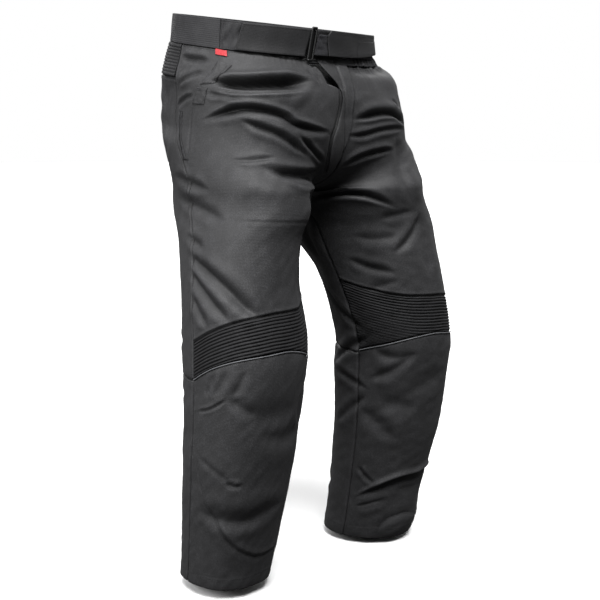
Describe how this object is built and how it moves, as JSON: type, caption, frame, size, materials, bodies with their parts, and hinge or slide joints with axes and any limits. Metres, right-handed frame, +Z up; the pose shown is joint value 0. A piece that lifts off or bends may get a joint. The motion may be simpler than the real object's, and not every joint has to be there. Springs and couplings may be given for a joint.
{
  "type": "textile riding trousers",
  "caption": "Black textile riding trousers, filled out and standing as if worn, with ribbed stretch knees and seat yoke, a folded-open fly top and a waist strap through a loop.",
  "frame": {"origin": "centre of the waistband at half its height", "axes": "+Z up along the trousers, the front faces -Y, the wearer's right leg is on -X"},
  "size_m": [0.5759, 0.3748, 0.9742],
  "materials": {
    "shell_cloth": "matte woven polyester",
    "stretch_cloth": "matte ribbed stretch cloth",
    "elastic_webbing": "matte ribbed elastic",
    "belt_cloth": "smooth matte webbing",
    "pile_tape": "fuzzy pile",
    "zip_tape": "matte tape",
    "reflective_piping": "grey retroreflective",
    "red_tab": "woven",
    "black_plastic": "satin moulded"
  },
  "bodies": {
    "root": {"thigh_front_right": "shell_cloth", "thigh_back_right": "shell_cloth", "knee_stretch_right": "stretch_cloth", "shin_front_right": "shell_cloth", "calf_back_right": "shell_cloth", "knee_piping_right": "reflective_piping", "pocket_band_right": "shell_cloth", "zip_garage_right": "shell_cloth", "pocket_zip_right": "zip_tape", "thigh_front_left": "shell_cloth", "thigh_back_left": "shell_cloth", "knee_stretch_left": "stretch_cloth", "shin_front_left": "shell_cloth", "calf_back_left": "shell_cloth", "knee_piping_left": "reflective_piping", "pocket_band_left": "shell_cloth", "zip_garage_left": "shell_cloth", "pocket_zip_left": "zip_tape", "back_yoke": "stretch_cloth", "waistband_elastic": "elastic_webbing", "waistband_front_right": "shell_cloth", "waistband_front_left": "shell_cloth", "fly_underlap": "shell_cloth", "fly_placket": "shell_cloth", "belt_strap_right": "belt_cloth", "belt_pile_strip": "pile_tape", "belt_tab_left": "belt_cloth", "belt_loop": "black_plastic", "side_tab": "red_tab"}
  },
  "joints": []
}
